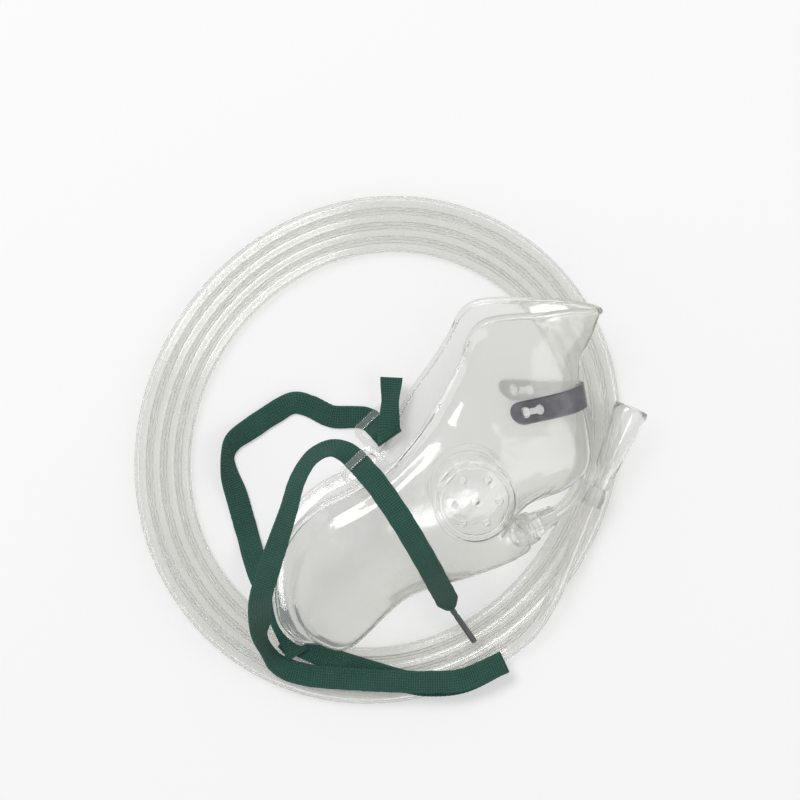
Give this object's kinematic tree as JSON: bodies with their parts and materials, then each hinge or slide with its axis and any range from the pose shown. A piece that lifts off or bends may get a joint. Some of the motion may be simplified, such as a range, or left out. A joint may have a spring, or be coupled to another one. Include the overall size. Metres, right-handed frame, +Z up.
{
  "type": "oxygen face mask with tubing",
  "caption": "Adult oxygen mask of clear soft plastic with an aluminium nose clip, green elastic head strap and coiled clear tubing, lying on its side.",
  "frame": {"origin": "on the table, below the middle of the mask's and strap's box, with the mask lying on its side", "axes": "+Z up from the table, across the mask from cheek to cheek; +Y towards the bridge of the nose; +X towards the front of the mask"},
  "size_m": [0.2053, 0.2059, 0.057],
  "materials": {
    "clear_pvc": "soft clear moulded plastic, glossy",
    "clear_tubing": "soft clear extruded plastic, glossy",
    "clear_connector": "clear moulded plastic",
    "aluminium": "rolled strip, satin",
    "green_elastic": "woven elastic braid",
    "crimped_tip": "dark grey film crimped round the strap's end"
  },
  "bodies": {
    "root": {"mask_body": "clear_pvc", "nose_clip": "aluminium", "head_strap": "green_elastic", "strap_tip": "crimped_tip", "inlet_connector": "clear_connector", "oxygen_tube_start": "clear_tubing", "tubing_coil": "clear_tubing", "oxygen_tube_end": "clear_tubing", "end_connector": "clear_connector"}
  },
  "joints": []
}
